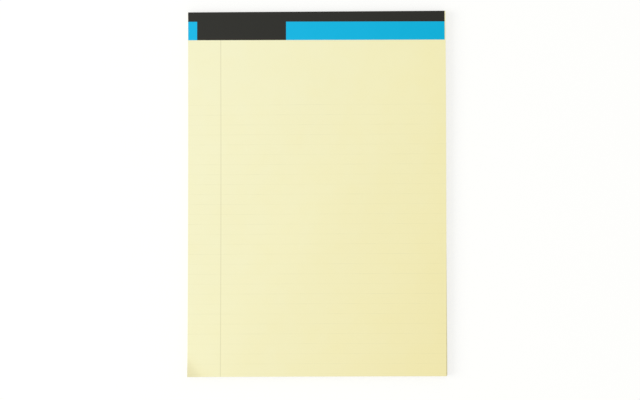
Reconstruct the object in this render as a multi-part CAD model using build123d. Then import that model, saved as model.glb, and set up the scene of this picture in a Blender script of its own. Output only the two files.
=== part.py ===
from build123d import *
from math import cos, hypot, radians, sin
import os

# A4 legal pad, lying on its back: ruled sheets on a greyboard back, stapled through the head under a tape.
# Millimetres, +Z up. X runs across the sheets and Y along them, with the head at +Y.
# The origin is the middle of the board's underside.

# ---- sheets
sheet_width = 210.0
sheet_length = 297.0
sheet_count = 50
sheet_caliper = 0.10  # thickness of one sheet
bound_depth = 14.0  # from the head down, the sheets are held square; below, they are free to fan
fan_at_foot = 1.2  # how far the top sheet's foot lies to the left of the bottom sheet's

# ---- lifted corner of the top sheets, at the left of the foot
lift_sheets = 3  # sheets that lift together
lift_up_side = 15.0  # from the corner to the crease, up the left side
lift_along_foot = 12.0  # from the corner to the crease, along the foot
lift_start = 7.0  # slope at the crease, in degrees
lift_end = 20.0  # slope at the tip, in degrees

# ---- greyboard back
board_thickness = 0.80

# ---- binding tape
tape_thickness = 0.12
tape_strip_width = 49.6  # front flap, spine and back flap together
tape_front_left = 22.8  # depth of the front flap at the left side
tape_front_right = 23.5  # depth of the front flap at the right side
tape_left_gap = 0.1  # from the tape's left end to the sheets' left side
tape_right_gap = 0.8  # from the tape's right end to the sheets' right side
head_edge_radius = 0.4  # rounding of the stack's two head edges under the tape

# ---- wire staples
staple_count = 4
staple_crown = 12.0  # over the outsides of the two legs
staple_wire = 0.50  # wire diameter
staple_bend = 0.75  # radius of the wire's middle line at each bend
staple_clinch = 4.6  # length of each leg's turned-in end, from the leg's outside
staple_from_head = 9.0
staple_side_margin = 27.0  # from the sheet's side to the middle of the first staple

# ---- clearances
wire_clearance = 0.03  # paper and board around the wire
wire_sink = 0.01  # the wire lies this far under the face that it is pressed into
tape_edge_clearance = 0.10  # board beyond the edge of the tape that is pressed into it

# ---- worked out from the sizes above
block_height = sheet_count * sheet_caliper
block_top = board_thickness + block_height
lift_thickness = lift_sheets * sheet_caliper
lift_base = block_top - lift_thickness
side_x = sheet_width / 2
head_y = sheet_length / 2
foot_y = -sheet_length / 2
bound_y = head_y - bound_depth
tape_left_x = -side_x + tape_left_gap
tape_right_x = side_x - tape_right_gap
tape_length = tape_right_x - tape_left_x
tape_back_left = tape_strip_width - tape_front_left - block_top
tape_back_right = tape_strip_width - tape_front_right - block_top
wire_radius = staple_wire / 2
past = 5.0  # how far a cutting shape reaches past what it cuts


def free_outline(shift, height):
    """A sheet's plan below the bound strip; its foot has slid to the left by shift, and its sides bow."""
    half_way = (bound_y + foot_y) / 2

    def side(x):
        if not shift:
            return Line((x, bound_y, height), (x, foot_y, height))
        # the slide grows with the square of the distance from the bound strip
        start, end = (x, bound_y, height), (x - shift, foot_y, height)
        return ThreePointArc(start, (x - shift / 4, half_way, height), end)

    bound_edge = Line((-side_x, bound_y, height), (side_x, bound_y, height))
    foot_edge = Line((-side_x - shift, foot_y, height), (side_x - shift, foot_y, height))
    return make_face(Wire([bound_edge, side(side_x), foot_edge, side(-side_x)]))


def round_head(slab, radius, top, bottom):
    """Rounds a slab's long head edge at its top, at its bottom or at both."""
    head_edges = slab.edges().filter_by(Axis.X).group_by(Axis.Y)[-1].sort_by(Axis.Z)
    chosen = [head_edges[-1]] * top + [head_edges[0]] * bottom
    return fillet(chosen, radius)


def flap_area(left_depth, right_depth, clearance=0.0):
    """Plan of a tape flap across the whole pad, from past the head down to its slanting free edge."""
    def free_edge(x):
        share = (x - tape_left_x) / tape_length
        depth = left_depth + share * (right_depth - left_depth)
        return (x, head_y - depth - clearance)

    reach = side_x + past
    above_head = [(-reach, head_y + past), (reach, head_y + past)]
    return make_face(Polyline(*above_head, free_edge(reach), free_edge(-reach), close=True))


def staple(growth=0.0):
    """One clinched staple about X = 0, its wire thicker by growth all round."""
    leg_x = staple_crown / 2 - wire_radius
    crown_z = block_top - wire_sink - wire_radius
    clinch_z = tape_thickness + wire_sink + wire_radius
    end_x = staple_crown / 2 - staple_clinch - growth
    points = [(-end_x, clinch_z), (-leg_x, clinch_z), (-leg_x, crown_z)]
    points += [(-x, z) for x, z in reversed(points)]
    wire_plane = Plane.XZ.offset(staple_from_head - head_y)
    path = wire_plane * FilletPolyline(*points, radius=staple_bend)
    section = Plane(origin=path @ 0, z_dir=path % 0) * Circle(wire_radius + growth)
    return sweep(section, path=path)


def staple_places():
    """Where each staple's middle goes, evenly spaced between the two side margins."""
    first = -side_x + staple_side_margin
    step = -2 * first / (staple_count - 1)
    return [Pos(first + step * i, 0, 0) for i in range(staple_count)]


def lifted_corner():
    """The top sheets beyond the crease, bent up about it, and the space that they are cut out of."""
    corner = Vector(-side_x - fan_at_foot, foot_y)
    crease_at_side = corner + Vector(0, lift_up_side)
    crease_at_foot = corner + Vector(lift_along_foot, 0)
    middle = (crease_at_side + crease_at_foot) / 2
    crease = crease_at_foot - crease_at_side
    outward = Vector(crease.Y, -crease.X).normalized()
    reach = lift_up_side * lift_along_foot / hypot(lift_up_side, lift_along_foot)

    start, end = radians(lift_start), radians(lift_end)
    lower_radius = (reach + lift_thickness) / (sin(end) - sin(start))

    def bend(radius, height):
        # an arc that starts on the crease at the given height and rises outwards
        angles = (start, (start + end) / 2, end)
        return [(radius * (sin(a) - sin(start)), height + radius * (cos(start) - cos(a))) for a in angles]

    lower = bend(lower_radius, 0)
    upper = bend(lower_radius - lift_thickness, lift_thickness)
    tip_edge = Line(lower[-1], upper[-1])
    crease_edge = Line(upper[0], lower[0])
    section = make_face(Wire([ThreePointArc(*lower), tip_edge, ThreePointArc(*reversed(upper)), crease_edge]))
    across_crease = Plane(
        origin=(middle.X, middle.Y, lift_base), x_dir=outward, z_dir=outward.cross(Vector(0, 0, 1))
    )
    bent = extrude(across_crease * section, crease.length, both=True)
    column = extrude(free_outline(fan_at_foot, 0), block_top + past)

    beyond_crease = Plane(origin=across_crease.origin, x_dir=outward, z_dir=(0, 0, 1))
    cut_away = beyond_crease * Box(
        reach + past, crease.length + past, lift_thickness + past, align=(Align.MIN, Align.CENTER, Align.MIN)
    )
    return bent & column, cut_away


def page_block():
    """All the sheets as one solid: square at the head, fanned at the foot, one corner of the top ones up."""
    top_plan = free_outline(fan_at_foot, lift_base)
    free_part = loft([free_outline(0, board_thickness), top_plan], ruled=True)
    free_part += extrude(top_plan, lift_thickness, dir=(0, 0, 1))
    corner, cut_away = lifted_corner()
    free_part = free_part - cut_away + corner

    bound_part = Pos(0, head_y, board_thickness) * Box(
        sheet_width, bound_depth, block_height, align=(Align.CENTER, Align.MAX, Align.MIN)
    )
    bound_part = round_head(bound_part, head_edge_radius, top=True, bottom=False)
    for place in staple_places():
        bound_part -= place * staple(wire_clearance)
    return bound_part + free_part


def backing_board():
    """The greyboard, with a shallow seat where the tape's back flap is pressed in flush."""
    board = Pos(0, 0, board_thickness / 2) * Box(sheet_width, sheet_length, board_thickness)
    seat = flap_area(tape_back_left, tape_back_right, tape_edge_clearance)
    board -= extrude(seat, tape_thickness, dir=(0, 0, 1))
    board = round_head(board, head_edge_radius, top=False, bottom=True)
    for place in staple_places():
        board -= place * staple(wire_clearance)
    return board


def binding_tape():
    """The tape: a front flap on the top sheet, a spine over the head and a back flap in the board's seat."""
    deepest = max(tape_front_left, tape_front_right, tape_back_left, tape_back_right) + past

    def head_end(growth):
        # the end of the stack that the tape wraps, grown by the tape's thickness or by nothing
        height = block_top - tape_thickness + 2 * growth
        slab = Pos(tape_left_x, head_y + growth, tape_thickness - growth) * Box(
            tape_length, deepest + growth, height, align=(Align.MIN, Align.MAX, Align.MIN)
        )
        return round_head(slab, head_edge_radius + growth, top=True, bottom=True)

    wrap = head_end(tape_thickness) - head_end(0)
    half_way = Plane.XY.offset(block_top / 2)
    upper, lower = [split(wrap, bisect_by=half_way, keep=keep) for keep in (Keep.TOP, Keep.BOTTOM)]
    upper &= extrude(flap_area(tape_front_left, tape_front_right), block_top + past, dir=(0, 0, 1))
    lower &= extrude(flap_area(tape_back_left, tape_back_right), block_top + past, dir=(0, 0, 1))
    return upper + lower


def staples():
    """All the staples as a group of separate solids."""
    return Compound(children=[place * staple() for place in staple_places()])


parts = {
    "page_block": page_block(),
    "backing_board": backing_board(),
    "binding_tape": binding_tape(),
    "staples": staples(),
}
os.makedirs("parts", exist_ok=True)
for name, shape in parts.items():
    export_step(shape, f"parts/{name}.step")
    print(name, len(shape.solids()), "solids", round(shape.volume, 1), "mm3")
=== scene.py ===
# %% [markdown]
# # A legal pad
# A head-bound writing pad is fifty loose sheets, a stiff board under them, a few wire staples through the
# head and a printed paper tape that wraps over the head and hides the staples. The measured model of the
# pad is loaded first and stays where it is. Every piece made here takes its size from that model.

# %% Load the measured model
import bmesh
import bpy
import math
import random
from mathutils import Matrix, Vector


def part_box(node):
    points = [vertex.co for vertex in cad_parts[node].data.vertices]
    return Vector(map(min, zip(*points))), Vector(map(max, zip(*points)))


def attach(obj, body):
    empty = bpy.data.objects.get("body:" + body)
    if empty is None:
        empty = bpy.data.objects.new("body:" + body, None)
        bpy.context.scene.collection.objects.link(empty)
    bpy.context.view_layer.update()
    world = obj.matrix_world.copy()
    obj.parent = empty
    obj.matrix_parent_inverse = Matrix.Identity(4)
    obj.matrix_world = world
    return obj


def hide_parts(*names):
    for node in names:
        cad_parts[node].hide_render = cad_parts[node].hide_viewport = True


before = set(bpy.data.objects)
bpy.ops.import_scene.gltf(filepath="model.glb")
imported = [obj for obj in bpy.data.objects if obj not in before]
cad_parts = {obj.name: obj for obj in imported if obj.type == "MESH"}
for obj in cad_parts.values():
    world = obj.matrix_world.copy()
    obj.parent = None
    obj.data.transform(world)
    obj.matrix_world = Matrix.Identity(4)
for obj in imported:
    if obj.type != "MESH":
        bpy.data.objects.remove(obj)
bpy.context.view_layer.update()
print("nodes", sorted(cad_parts))

# %% [markdown]
# ## Sizes
# Blender works in metres, and a pad is easier to think of in millimetres, so one constant converts. The
# boxes of three measured nodes give the paper's size, the height of the stack and the thickness of the
# tape. What a box can't say, such as where a printed line runs, is named once, in the step that first needs
# it.

# %% Sizes from the model
mm = 0.001
board_low, board_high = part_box("backing_board")
block_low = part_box("page_block")[0]
tape_low, tape_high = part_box("binding_tape")

left_x, right_x = board_low.x, board_high.x
foot_y, head_y = board_low.y, board_high.y
width, length = right_x - left_x, head_y - foot_y
board_top = board_high.z
tape_thick = tape_high.y - head_y
stack_top = tape_high.z - tape_thick
fan = left_x - block_low.x  # the top sheet's foot has slid this far to the left
sheet_count = 50
caliper = (stack_top - board_top) / sheet_count
print("paper", round(width / mm, 1), "x", round(length / mm, 1), "mm, caliper", round(caliper / mm, 3))

# %% [markdown]
# ## From bmesh to piece
# Each part is shaped in a bmesh, which is Blender's mesh in memory with its modelling operators. The same
# steps could be done by hand in Edit Mode, but a script makes the same mesh every time and says each size.
# When the shape is done, one helper turns its faces outwards, writes it to a mesh, hangs it under the root
# body and hides the measured node that it stands for. The object stays at the origin, and the place is in
# the vertices. A second helper finds the hard edges of a shape, those where two faces meet at nearly a right
# angle, for a bevel to work on.

# %% Two helpers
def finish_piece(name, shape, node, smooth_below=None):
    bmesh.ops.recalc_face_normals(shape, faces=shape.faces[:])
    mesh = bpy.data.meshes.new(name)
    shape.to_mesh(mesh)
    shape.free()
    piece = bpy.data.objects.new(name, mesh)
    bpy.context.collection.objects.link(piece)
    if smooth_below is not None:
        mesh.shade_smooth()
        mesh.set_sharp_from_angle(angle=smooth_below)
    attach(piece, "root")
    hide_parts(node)
    print(name, "has", len(mesh.polygons), "faces")
    return piece


hard_turn = math.radians(69)


def hard_edges(shape):
    return [edge for edge in shape.edges if edge.calc_face_angle(0) > hard_turn]


print("an edge is hard above", round(math.degrees(hard_turn)), "degrees")

# %% [markdown]
# ## One sheet
# A sheet of paper is a thin slab. A scaled cube would do for a sheet that stays flat, but these sheets
# bend, so a grid gives the flat sheet, and solidify gives it its thickness, a little less than its share of
# the stack, so that no two sheets touch. The top sheets have many cells that crowd towards the left of the
# foot, where the corner is lifted and bends. The cut edges of an inner sheet are bevelled by a fiftieth of
# a millimetre, so that the side of the stack shows a fine groove between one sheet and the next. A UV map
# keeps each point's distance from the sheet's left side and from its head in metres, and the print follows
# the sheet wherever it is bent or slid.

# %% Make a sheet
sheet_fill = 0.92  # how much of its share of the stack a sheet fills


def sheet_pattern(columns, rows, crowding, edge_bevel):
    shape = bmesh.new()
    bmesh.ops.create_grid(shape, x_segments=columns, y_segments=rows, size=0.5)
    for vert in shape.verts:
        across, along = vert.co.x + 0.5, vert.co.y + 0.5
        vert.co = (left_x + width * across**crowding, foot_y + length * along**crowding, 0)
    bmesh.ops.solidify(shape, geom=shape.faces[:], thickness=-sheet_fill * caliper)
    if edge_bevel:
        bmesh.ops.bevel(
            shape, geom=hard_edges(shape), offset=edge_bevel,
            affect="EDGES", segments=1, profile=0.5, material=-1,
        )
    lowest = min(vert.co.z for vert in shape.verts)
    bmesh.ops.translate(shape, verts=shape.verts[:], vec=(0, 0, -lowest))
    on_sheet = shape.loops.layers.uv.new("on_sheet")
    for face in shape.faces:
        for corner in face.loops:
            corner[on_sheet].uv = (corner.vert.co.x - left_x, head_y - corner.vert.co.y)
    mesh = bpy.data.meshes.new("sheet_pattern")
    shape.to_mesh(mesh)
    shape.free()
    return mesh


inner_pattern = sheet_pattern(columns=8, rows=24, crowding=1.0, edge_bevel=0.02 * mm)
top_pattern = sheet_pattern(columns=56, rows=76, crowding=1.6, edge_bevel=None)
print("inner sheet", len(inner_pattern.polygons), "faces, top sheet", len(top_pattern.polygons), "faces")

# %% [markdown]
# ## How the stack lies
# The staples hold the sheets square at the head. Below them the stack has been pushed a little, so that the
# upper sheets' foot lies to the left and the lower sheets show as a narrow stepped strip at the right. Each
# sheet also has its own tiny slip, and in one sheet of ten it is three times as large sideways. It comes
# from a seeded random source, so that every run is the same. Paper is never quite flat either: a low swell
# runs through the stack, stronger towards the top sheet. The tape's fold has pressed the upper sheets' head
# edges back into a rounding. A cloth simulation could settle the stack, but fifty sheets this thin would
# take long and tremble, and a short formula for each point shows the same at once.

# %% How a sheet settles in the stack
bound_y = head_y - 14 * mm  # from here to the head the sheets are held square
fold_radius = 0.4 * mm
swell_height = 0.22 * mm
swell_start = 60 * mm  # the swell grows to its full height over this length below the bound strip
usual_slip_x, usual_slip_y = 0.04 * mm, 0.05 * mm
lifted_sheets = 3
chance = random.Random(7)


def fold_inset(depth):
    """How far a point this deep inside a rounded edge stands back from the flat beyond it."""
    short = max(0, fold_radius - max(0, depth))
    return fold_radius - math.sqrt(fold_radius**2 - short**2)


def swell(x, y):
    """How high the paper stands here: a long wave and a short one, which together don't repeat."""
    free = min(1, max(0, (bound_y - y) / swell_start))
    long_wave = math.sin(x / (31 * mm) + 0.8) * math.cos(y / (44 * mm) + 0.3)
    short_wave = 0.4 * math.sin(x / (17 * mm) - y / (23 * mm))
    return free * swell_height * (long_wave + short_wave)


def settle(verts, layer):
    share = min(1, layer / (sheet_count - lifted_sheets))
    slip_x, slip_y = chance.gauss(0, usual_slip_x), chance.gauss(0, usual_slip_y)
    if chance.random() < 0.1:
        slip_x *= 3
    for vert in verts:
        free = max(0, (bound_y - vert.co.y) / (bound_y - foot_y))
        rise = layer * caliper + share * swell(vert.co.x, vert.co.y)
        vert.co.x += slip_x * free - fan * share * free**2
        vert.co.y += slip_y * free
        vert.co.z += board_top + rise
        vert.co.y = min(vert.co.y, head_y - fold_inset(stack_top - vert.co.z))


print("sheets are free below y =", round(bound_y / mm, 1), "mm")

# %% [markdown]
# ## The lifted corner
# At the left of the foot a thumb has lifted the corner of the top three sheets. The paper has a slight
# crease across the corner and curls up beyond it. A Simple Deform modifier bends only along an object's own
# axes, and this crease runs aslant, so the points are moved directly. The bend keeps the paper's length: a
# point at some distance beyond the crease moves along an arc of that length. Each sheet under the top one
# lifts a little less, so air shows between them.

# %% Bend a corner up about its crease
lift_up_side, lift_along_foot = 15 * mm, 12 * mm
crease_slope, tip_slope = math.radians(7), math.radians(20)
lift_reach = lift_up_side * lift_along_foot / math.hypot(lift_up_side, lift_along_foot)
outward = Vector((-lift_up_side, -lift_along_foot, 0)).normalized()
crease_point = Vector((left_x - fan, foot_y + lift_up_side, 0))


def lift_corner(verts, strength):
    start, end = crease_slope * strength, tip_slope * strength
    bend = (end - start) / lift_reach
    for vert in verts:
        beyond = (vert.co - crease_point).dot(outward)
        if beyond > 0:
            slope = start + bend * beyond
            moved = (math.sin(slope) - math.sin(start)) / bend
            vert.co += outward * (moved - beyond)
            vert.co.z += (math.cos(start) - math.cos(slope)) / bend


print("the corner is creased", round(lift_reach / mm, 1), "mm from its tip")

# %% [markdown]
# ## The stack
# An Array modifier would repeat one sheet in equal steps, and no two sheets of a real pad lie alike. So
# each layer is a fresh copy of one of the two patterns, settled in its place, and the top three then get
# their corner bent. All fifty go into one bmesh, where they stay fifty separate closed shells.

# %% Stack the sheets
lift_strengths = (0.7, 0.88, 1.0)  # of the lifted sheets, from the lowest to the top one
lifts = dict(zip(range(sheet_count - lifted_sheets, sheet_count), lift_strengths))
stack = bmesh.new()
stack.loops.layers.uv.new("on_sheet")
for layer in range(sheet_count):
    made_before = len(stack.verts)
    stack.from_mesh(top_pattern if layer in lifts else inner_pattern)
    stack.verts.ensure_lookup_table()
    sheet_verts = stack.verts[made_before:]
    settle(sheet_verts, layer)
    if layer in lifts:
        lift_corner(sheet_verts, lifts[layer])
sheets = finish_piece("sheets", stack, "page_block", smooth_below=math.radians(30))

# %% [markdown]
# ## The board
# Greyboard is pressed waste paper, about as thick as eight sheets. A plain slab would do, but then the
# tape's back flap would stand proud of it and the pad would rock. So it starts as a cube, two cuts close
# together mark where the flap ends, and the underside from there to the head is pressed in by the tape's
# thickness, which lets the flap lie flush. The fold rounds the lower head edge, and a small bevel takes the
# hardness off the die-cut edges.

# %% Cut the board and press in the tape's seat
tape_strip = 49.6 * mm  # width of the tape before it is wrapped
front_left, front_right = 22.8 * mm, head_y - tape_low.y
back_flap_left, back_flap_right = tape_strip - front_left - stack_top, tape_strip - front_right - stack_top
front_middle, back_middle = (front_left + front_right) / 2, (back_flap_left + back_flap_right) / 2
seat_clearance = 0.1 * mm  # board beyond the flap's edge that is pressed in with it
seat_wall = 0.12 * mm  # the seat's wall slopes over this width

board = bmesh.new()
bmesh.ops.create_cube(board, size=1)
bmesh.ops.scale(board, vec=(width, length, board_top), verts=board.verts[:])
bmesh.ops.translate(board, vec=(0, 0, board_top / 2), verts=board.verts[:])
seat_slope = Vector((width, back_flap_left - back_flap_right, 0)).normalized()
across_seat = Vector((-seat_slope.y, seat_slope.x, 0))
seat_y = head_y - back_middle - seat_clearance
for step in (0, seat_wall):
    everything = board.verts[:] + board.edges[:] + board.faces[:]
    bmesh.ops.bisect_plane(board, geom=everything, plane_co=(0, seat_y + step, 0), plane_no=across_seat)
second_cut = Vector((0, seat_y + seat_wall, 0))
for vert in board.verts:
    beyond = (vert.co - second_cut).dot(across_seat)
    if vert.co.z < board_top / 2 and beyond > -seat_wall / 10:  # underneath, and on the second cut or past it
        vert.co.z += tape_thick
print("back flap", round(back_middle / mm, 1), "mm deep")

# %% Round the board's edges
die_cut_bevel = 0.08 * mm
lower_head = [
    edge for edge in hard_edges(board)
    if edge.calc_length() > width / 2
    and all(vert.co.y > head_y - mm and vert.co.z < board_top / 2 for vert in edge.verts)
]
bmesh.ops.bevel(
    board, geom=lower_head, offset=fold_radius, affect="EDGES", segments=5, profile=0.5, material=-1
)
bmesh.ops.bevel(
    board, geom=hard_edges(board), offset=die_cut_bevel, affect="EDGES", segments=2, profile=0.5, material=-1
)
back = finish_piece(
    "backing_board_visual", board, "backing_board", smooth_below=math.radians(30)
)

# %% [markdown]
# ## The binding tape
# The tape is one strip of printed paper. Three thin boxes would leave hard open corners at the two folds,
# so it is built the way it is applied: one edge runs up the front flap, turns over the head, runs down the
# spine, turns again and runs along the back flap. Extrude makes each straight run and spin makes each turn.
# The strip went on slightly askew, so its front flap is deeper at the right and its back flap is deeper at
# the left. Solidify then gives the paper its thickness.

# %% Two ways to carry the tape's edge on
tape_left, tape_right = tape_low.x, tape_high.x
tape = bmesh.new()


def run_on(edges, reach, steps):
    """Extrudes the edges straight on, in equal steps, and gives the edges at the far end."""
    for _ in range(steps):
        grown = bmesh.ops.extrude_edge_only(tape, edges=edges)["geom"]
        moved = [item for item in grown if isinstance(item, bmesh.types.BMVert)]
        bmesh.ops.translate(tape, verts=moved, vec=reach / steps)
        edges = [item for item in grown if isinstance(item, bmesh.types.BMEdge)]
    return edges


def turn(edges, centre, steps):
    """Spins the edges a quarter turn about a line across the pad, and gives the edges at the far end."""
    verts = {vert for edge in edges for vert in edge.verts}
    spun = bmesh.ops.spin(
        tape, geom=edges + list(verts), cent=centre, axis=(1, 0, 0), dvec=(0, 0, 0),
        angle=-math.pi / 2, steps=steps, use_duplicate=False,
    )
    return [item for item in spun["geom_last"] if isinstance(item, bmesh.types.BMEdge)]


print("tape is", round((tape_right - tape_left) / mm, 1), "mm long")

# %% Wrap the tape
tape_columns = 96
fold_y = head_y - fold_radius
front_run, back_run = front_middle - fold_radius, back_middle - fold_radius
spine_run = stack_top - tape_thick - 2 * fold_radius
ends = [tape.verts.new((x, head_y - front_middle, stack_top)) for x in (tape_left, tape_right)]
bmesh.ops.subdivide_edges(tape, edges=[tape.edges.new(ends)], cuts=tape_columns - 1)
leading = run_on(tape.edges[:], Vector((0, front_run, 0)), steps=24)
leading = turn(leading, (0, fold_y, stack_top - fold_radius), steps=6)
leading = run_on(leading, Vector((0, 0, -spine_run)), steps=6)
leading = turn(leading, (0, fold_y, tape_thick + fold_radius), steps=6)
run_on(leading, Vector((0, -back_run, 0)), steps=12)
print("tape has", len(tape.faces), "faces before it is thick")

# %% Lay it askew and give it its thickness
askew = (front_right - front_left) / 2
for vert in tape.verts:
    along = (vert.co.x - (tape_left + tape_right) / 2) / ((tape_right - tape_left) / 2)
    depth = max(0, fold_y - vert.co.y)
    if vert.co.z > stack_top - fold_radius:
        vert.co.y -= askew * along * depth / front_run
    else:
        vert.co.y += askew * along * depth / back_run
bmesh.ops.recalc_face_normals(tape, faces=tape.faces[:])
bmesh.ops.solidify(tape, geom=tape.faces[:], thickness=-tape_thick)
tape_piece = finish_piece(
    "binding_tape_visual", tape, "binding_tape", smooth_below=math.radians(40)
)
for name, values in zip("xyz", zip(*(vert.co for vert in tape_piece.data.vertices))):
    print("tape in", name, "from", round(min(values) / mm, 2), "to", round(max(values) / mm, 2), "mm")

# %% [markdown]
# ## Shader arithmetic
# A procedural material is arithmetic on coordinates. Written node by node it is long and hard to read, so a
# small class wraps a socket and lets Python's own operators add the Math nodes. Every other node comes from
# its one method, which takes the node's type, its settings, and the values or links of its inputs.

# %% A class that wraps a shader socket
class Wire:
    def __init__(self, tree, socket=None):
        self.tree, self.socket = tree, socket

    def node(self, kind, settings=None, inputs=None, output=0):
        made = self.tree.nodes.new(kind)
        for name, value in (settings or {}).items():
            setattr(made, name, value)
        for name, value in (inputs or {}).items():
            if isinstance(value, Wire):
                self.tree.links.new(value.socket, made.inputs[name])
            else:
                made.inputs[name].default_value = value
        return Wire(self.tree, made.outputs[output] if made.outputs else None)

    def math(self, operation, *values, clamp=False):
        settings = {"operation": operation, "use_clamp": clamp}
        return self.node("ShaderNodeMath", settings, dict(enumerate(values)))

    def __add__(self, other):
        return self.math("ADD", self, other)

    def __radd__(self, other):
        return self.math("ADD", other, self)

    def __sub__(self, other):
        return self.math("SUBTRACT", self, other)

    def __rsub__(self, other):
        return self.math("SUBTRACT", other, self)

    def __mul__(self, other):
        return self.math("MULTIPLY", self, other)

    def __rmul__(self, other):
        return self.math("MULTIPLY", other, self)

    def __truediv__(self, other):
        return self.math("DIVIDE", self, other)

    def __gt__(self, other):
        return self.math("GREATER_THAN", self, other)

    def __lt__(self, other):
        return self.math("LESS_THAN", self, other)

    def clamped(self):
        return self.math("ADD", self, 0.0, clamp=True)

    def absolute(self):
        return self.math("ABSOLUTE", self)

    def fraction(self):
        return self.math("FRACT", self)

    def axes(self):
        made = self.node("ShaderNodeSeparateXYZ", inputs={"Vector": self})
        outputs = made.socket.node.outputs
        return [Wire(self.tree, outputs[name]) for name in "XYZ"]

    def noise(self, scale, detail=2.0, roughness=0.5):
        inputs = {"Vector": self, "Scale": scale, "Detail": detail, "Roughness": roughness}
        return self.node("ShaderNodeTexNoise", inputs=inputs)

    def stretched(self, scale):
        return self.node("ShaderNodeMapping", inputs={"Vector": self, "Scale": scale})

    def blend(self, colour_a, colour_b):
        """This value as the mask between two colours."""
        inputs = {0: self, 6: colour_a, 7: colour_b}
        return self.node("ShaderNodeMix", {"data_type": "RGBA"}, inputs, output=2)


print("shader class ready")

# %% [markdown]
# ## What the materials share
# Every material starts empty, and most end in the same way: a colour, a roughness and a bump go to a
# Principled shader. Colours are written as a screen shows them, from 0 to 255, and turned into the linear
# values that Blender works in.

# %% Helpers for the materials
def new_material(name):
    material = bpy.data.materials.new(name)
    material.use_nodes = True
    material.node_tree.nodes.clear()
    return material, Wire(material.node_tree)


def object_place(start):
    return start.node("ShaderNodeTexCoord", output="Object")


def surface(start, colour, roughness, bump=None, **constants):
    """The last nodes of a material. The bump is a pair, a height from 0 to 1 and how far 1 stands up."""
    inputs = {"Base Color": colour, "Roughness": roughness, **constants}
    if bump:
        height, distance = bump
        bump_inputs = {"Height": height, "Strength": 1.0, "Distance": distance}
        inputs["Normal"] = start.node("ShaderNodeBump", inputs=bump_inputs)
    shader = start.node("ShaderNodeBsdfPrincipled", inputs=inputs)
    start.node("ShaderNodeOutputMaterial", inputs={"Surface": shader})


def srgb(red, green, blue):
    def linear(level):
        level /= 255
        return level / 12.92 if level <= 0.04045 else ((level + 0.055) / 1.055) ** 2.4

    return (linear(red), linear(green), linear(blue), 1.0)


print("mid grey is", round(srgb(128, 128, 128)[0], 3), "in linear light")

# %% [markdown]
# ## Yellow ruled paper
# The paper is a pale, slightly uneven yellow. Feint rules cross the whole width at an even pitch below a
# blank header, and one margin line runs down the left. Both are printed thin and very pale, and the rules
# take the ink a little unevenly. A picture of a ruled page would blur close up, and lines made by
# arithmetic stay sharp. They are drawn from the UV map: the distance to the nearest rule gives a mask with
# a soft edge, and only faces that lie nearly flat are printed.

# %% The printed lines
rule_pitch = 8.1 * mm
first_rule = 76 * mm  # down from the head
rule_count = 28
rule_half, rule_soft = 0.13 * mm, 0.06 * mm  # half the line's width, and the width of its soft edge
margin_at = 26.7 * mm  # in from the left side
margin_half, margin_soft = 0.14 * mm, 0.3 * mm
flat_enough = 0.85  # a face is printed if its normal points up or down by more than this


def line_mask(distance, half, soft):
    return ((half + soft - distance) / soft).clamped()


paper, start = new_material("yellow_paper")
place = object_place(start)
across, down, _ = start.node("ShaderNodeUVMap", {"uv_map": "on_sheet"}).axes()
upward = start.node("ShaderNodeNewGeometry", output="Normal").axes()[2]
on_face = upward.absolute() > flat_enough

steps_down = (down - first_rule) / rule_pitch
to_rule = ((steps_down + 0.5).fraction() - 0.5).absolute() * rule_pitch
in_ruling = (steps_down > -0.5) * (steps_down < rule_count - 0.5)
rules = line_mask(to_rule, rule_half, rule_soft) * in_ruling * on_face
margin = line_mask((across - margin_at).absolute(), margin_half, margin_soft) * on_face
last_rule = first_rule + (rule_count - 1) * rule_pitch
print("rules run from", round(first_rule / mm), "to", round(last_rule / mm), "mm below the head")

# %% [markdown]
# ## The paper's colour and its painted shade
# The sheet is painted lightest at the left of the head and deeper towards the right and the foot, which is
# painted shade of the lamp's fall-off, over soft clouds in the paper and the fine grain of its fibres. It is
# painted darker still towards the right of the foot, for the same fall-off, and at the lifted corner by the
# left of the foot, painted shade of that corner tilting away from the lamp. The cut sides of the sheets are a
# touch deeper, streaked from sheet to sheet.

# %% Paper material
clouds = place.noise(60, detail=3)
fibres = place.noise(1800, detail=4, roughness=0.7)
share_across, share_down = across / width, down / length
# painted shade: the paper is painted deeper towards the right and the foot, for the lamp's fall-off
painted_falloff = share_across * (0.45 + 0.3 * share_across) + share_down * 0.25
# the paper's real clouds and fibres, with the painted shade of the lamp's fall-off
depth = (0.3 * clouds + 0.1 * fibres + 0.85 * painted_falloff - 0.12).clamped()
body = depth.blend(srgb(246, 244, 206), srgb(246, 238, 181))
# painted shade: darker still towards the right of the foot, for the lamp's fall-off
painted_falloff_at_foot = share_across * share_down * share_down
# painted shade on the lifted corner at the left of the foot, which tilts away from the lamp
from_corner = across.absolute() + (length - down).absolute()
corner_shade_reach, corner_shade_fade = 24 * mm, 18 * mm
painted_corner_shade = ((corner_shade_reach - from_corner) / corner_shade_fade).clamped()
# both painted shades darken the paper towards this colour
painted_shade = (0.3 * painted_falloff_at_foot + 0.25 * painted_corner_shade).clamped()
body = painted_shade.blend(body, srgb(238, 222, 160))
inking = ((place.stretched((50, 130, 0)).noise(1.0, detail=2) - 0.46) * 5).clamped()
ruled = (rules * (0.08 + 0.12 * inking)).blend(body, srgb(202, 200, 160))
lined = (0.36 * margin).blend(ruled, srgb(190, 184, 142))
streaks = place.stretched((60, 60, 9000)).noise(1.0, detail=2)
cut_side = (0.25 + 0.5 * streaks).blend(srgb(242, 235, 190), srgb(228, 219, 166))
paper_colour = on_face.blend(cut_side, lined)
dull = {"Specular IOR Level": 0.1}
surface(start, paper_colour, 0.82 + 0.12 * fibres, bump=(fibres, 0.015 * mm), **dull)
sheets.data.materials.append(paper)
print("paper has", len(paper.node_tree.nodes), "nodes")

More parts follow.
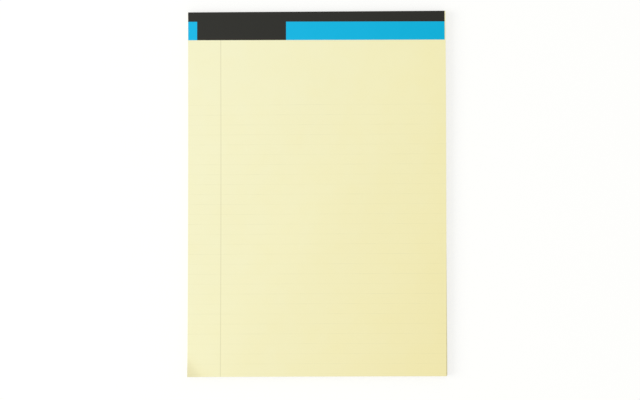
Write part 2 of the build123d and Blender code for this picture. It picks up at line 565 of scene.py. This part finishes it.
# %% [markdown]
# ## Printed tape
# The print is three plain fields: a black strip along the head, a blue band under it, and a black tab that
# drops from the strip through the band at the left. The tape could be cut into a mesh for each colour, but
# it is one strip of paper, and masks on its coordinates keep it one piece. The print runs slightly askew to
# the head, so a Mapping node turns the coordinates to lie along the print. The ink is painted paler at the
# left and deeper at the right, painted shade of the lamp's fall-off, with a little real mottle in it. The
# spine and the back flap are black. Lettering is left off, and its place is bare.

# %% Tape material
strip_depth_left, strip_depth_right = 7.7 * mm, 8.7 * mm
print_turn = -math.atan((strip_depth_right - strip_depth_left) / (tape_right - tape_left))
tab_left, tab_right = 7.4 * mm, 80.0 * mm

printed, start = new_material("printed_tape")
place = object_place(start)
height = place.axes()[2]
print_inputs = {"Vector": place, "Location": (tape_left, head_y, 0), "Rotation": (0, 0, print_turn)}
across, up, _ = start.node("ShaderNodeMapping", {"vector_type": "TEXTURE"}, print_inputs).axes()
on_front = height > stack_top - fold_radius
in_band = (up < -strip_depth_left) * on_front
in_tab = (across > tab_left) * (across < tab_right)
blue_mask = in_band * (1 - in_tab)
grain = place.noise(1500, detail=3, roughness=0.6)
mottle = place.noise(45, detail=3)
# painted shade: the ink is painted deeper from left to right for the lamp's fall-off, mixed with its real
# mottle and grain
ink_mottle_and_painted_falloff = (0.8 * across / (tape_right - tape_left) + 0.25 * mottle + 0.15 * grain - 0.1).clamped()
black_ink = ink_mottle_and_painted_falloff.blend(srgb(49, 49, 45), srgb(42, 42, 38))
blue_ink = ink_mottle_and_painted_falloff.blend(srgb(27, 187, 234), srgb(0, 176, 217))
ink = blue_mask.blend(black_ink, blue_ink)
surface(start, ink, 0.42 + 0.16 * grain, bump=(grain, 0.01 * mm), **dull)
tape_piece.data.materials.append(printed)
print("tape has", len(printed.node_tree.nodes), "nodes")

# %% [markdown]
# ## Greyboard
# Greyboard is grey-brown, with pale and dark flecks of the fibres that it was pulped from. One flat grey
# would look like plastic. Noise that is stretched one way gives the flecks, and the same noise raises the
# surface a little.

# %% Board material
grey, start = new_material("greyboard")
place = object_place(start)
flecks = place.stretched((500, 180, 500)).noise(1.0, detail=5, roughness=0.7)
specks = place.noise(900, detail=2)
clouds = place.noise(35, detail=4)
pulp = (0.5 * flecks + 0.5 * clouds).blend(srgb(138, 132, 122), srgb(176, 170, 158))
grey_colour = ((specks - 0.62) * 8).clamped().blend(pulp, srgb(122, 114, 104))
surface(start, grey_colour, 0.86 + 0.1 * flecks, bump=(flecks, 0.03 * mm))
back.data.materials.append(grey)
print("board has", len(grey.node_tree.nodes), "nodes")

# %% [markdown]
# ## Staple wire
# The staples are hidden by the tape, and stay as the measured node. Drawn wire is bright metal with fine
# lines along its length, so the roughness follows a noise that is stretched along the crown.

# %% Wire material
wire_metal, start = new_material("staple_wire")
place = object_place(start)
drawn = place.stretched((80, 6000, 6000)).noise(1.0, detail=2)
wire_colour = drawn.blend(srgb(176, 176, 178), srgb(206, 206, 208))
surface(start, wire_colour, 0.25 + 0.2 * drawn, Metallic=1.0)
staple_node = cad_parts["staples"]
staple_node.data.materials.clear()
staple_node.data.materials.append(wire_metal)
print("staples have", len(wire_metal.node_tree.nodes), "nodes")

# %% [markdown]
# ## Floor, world and light
# The pad lies on a plain white floor. One large soft lamp stands well to the left, a little over half as
# high as it is far, so the page is brightest at the left and the pad's shadow falls to the right. The world
# fills in from all sides. A stronger lamp would whiten the floor, but it would bleach the page as well.
# Instead the floor is partly its own light, but only where it is seen, so it stays white and still shows
# the shadow, and its glow doesn't light the pad.

# %% Floor
def seen_directly(start):
    """1 where a surface is seen, directly, reflected or through glass, and 0 where it only lights."""
    outputs = start.node("ShaderNodeLightPath").socket.node.outputs
    kinds = ("Is Camera Ray", "Is Glossy Ray", "Is Transmission Ray")
    camera_ray, glossy_ray, through_ray = [Wire(start.tree, outputs[name]) for name in kinds]
    return (camera_ray + glossy_ray + through_ray).clamped()


glow_share = 0.63  # how much of what is seen of the floor is its own light
glow_strength = 1.066  # 1 is white, and the share that is only lit is a little darker than white
floor_reach = 3.0  # from the middle to each side
floor_gap = 0.05 * mm  # keeps the floor and the pad's underside out of one plane
floor_shape = bmesh.new()
bmesh.ops.create_grid(floor_shape, x_segments=1, y_segments=1, size=floor_reach)
bmesh.ops.translate(floor_shape, verts=floor_shape.verts[:], vec=(0, 0, -floor_gap))
floor_mesh = bpy.data.meshes.new("floor")
floor_shape.to_mesh(floor_mesh)
floor_shape.free()
floor = bpy.data.objects.new("floor", floor_mesh)
bpy.context.collection.objects.link(floor)

white_floor, start = new_material("white_floor")
plain = start.node("ShaderNodeBsdfDiffuse", inputs={"Color": srgb(247, 247, 241)})
glow = start.node("ShaderNodeEmission", inputs={"Color": (1, 1, 1, 1), "Strength": glow_strength})
glow_seen = glow_share * seen_directly(start)
mixed = start.node("ShaderNodeMixShader", inputs={0: glow_seen, 1: plain, 2: glow})
start.node("ShaderNodeOutputMaterial", inputs={"Surface": mixed})
floor_mesh.materials.append(white_floor)
print("floor has", len(white_floor.node_tree.nodes), "nodes")

# %% World and lamp
ambient = 0.72  # light from all sides, where 1 would be full white by itself
world = bpy.data.worlds.new("studio")
bpy.context.scene.world = world
world.use_nodes = True
world.node_tree.nodes.clear()
start = Wire(world.node_tree)
fill = start.node("ShaderNodeBackground", inputs={"Color": (1, 1, 1, 1), "Strength": ambient})
seen_white = start.node("ShaderNodeBackground", inputs={"Color": (1, 1, 1, 1), "Strength": 1.0})
sky = start.node("ShaderNodeMixShader", inputs={0: seen_directly(start), 1: fill, 2: seen_white})
start.node("ShaderNodeOutputWorld", inputs={"Surface": sky})

lamp_data = bpy.data.lights.new("softbox", "AREA")
lamp_data.shape = "SQUARE"
lamp_data.size = 1.6
lamp_data.energy = 50.0  # in watts, at which a colour renders about as it is written
lamp = bpy.data.objects.new("softbox", lamp_data)
lamp.location = (-2.6, -0.18, 1.62)
lamp.rotation_euler = (-lamp.location).to_track_quat("-Z", "Y").to_euler()
bpy.context.collection.objects.link(lamp)
print("lamp at", tuple(lamp.location))

# %% [markdown]
# ## Camera
# The camera looks straight down from just under a metre, like one on a copy stand. It is tipped by about a
# degree and rolled by a fraction of one, as a camera set by hand is. An orthographic camera would show a
# perfect rectangle, and this one shows the slight taper that an eye or a lens sees.

# %% Camera
camera_height = 0.9
picture_width = 0.5206  # how much of the page's plane the picture takes in
aim = Vector((2.1 * mm, -5.2 * mm, stack_top))
tip, lean, roll = math.radians(0.9), math.radians(0.62), math.radians(-0.26)
camera_data = bpy.data.cameras.new("camera")
camera_data.lens = camera_data.sensor_width * camera_height / picture_width
camera = bpy.data.objects.new("camera", camera_data)
camera.rotation_euler = (tip, lean, roll)
camera.location = aim + camera.rotation_euler.to_matrix() @ Vector((0, 0, camera_height))
bpy.context.collection.objects.link(camera)
bpy.context.scene.camera = camera
bpy.context.scene.view_settings.view_transform = "Standard"
print("lens", round(camera_data.lens, 1), "mm")
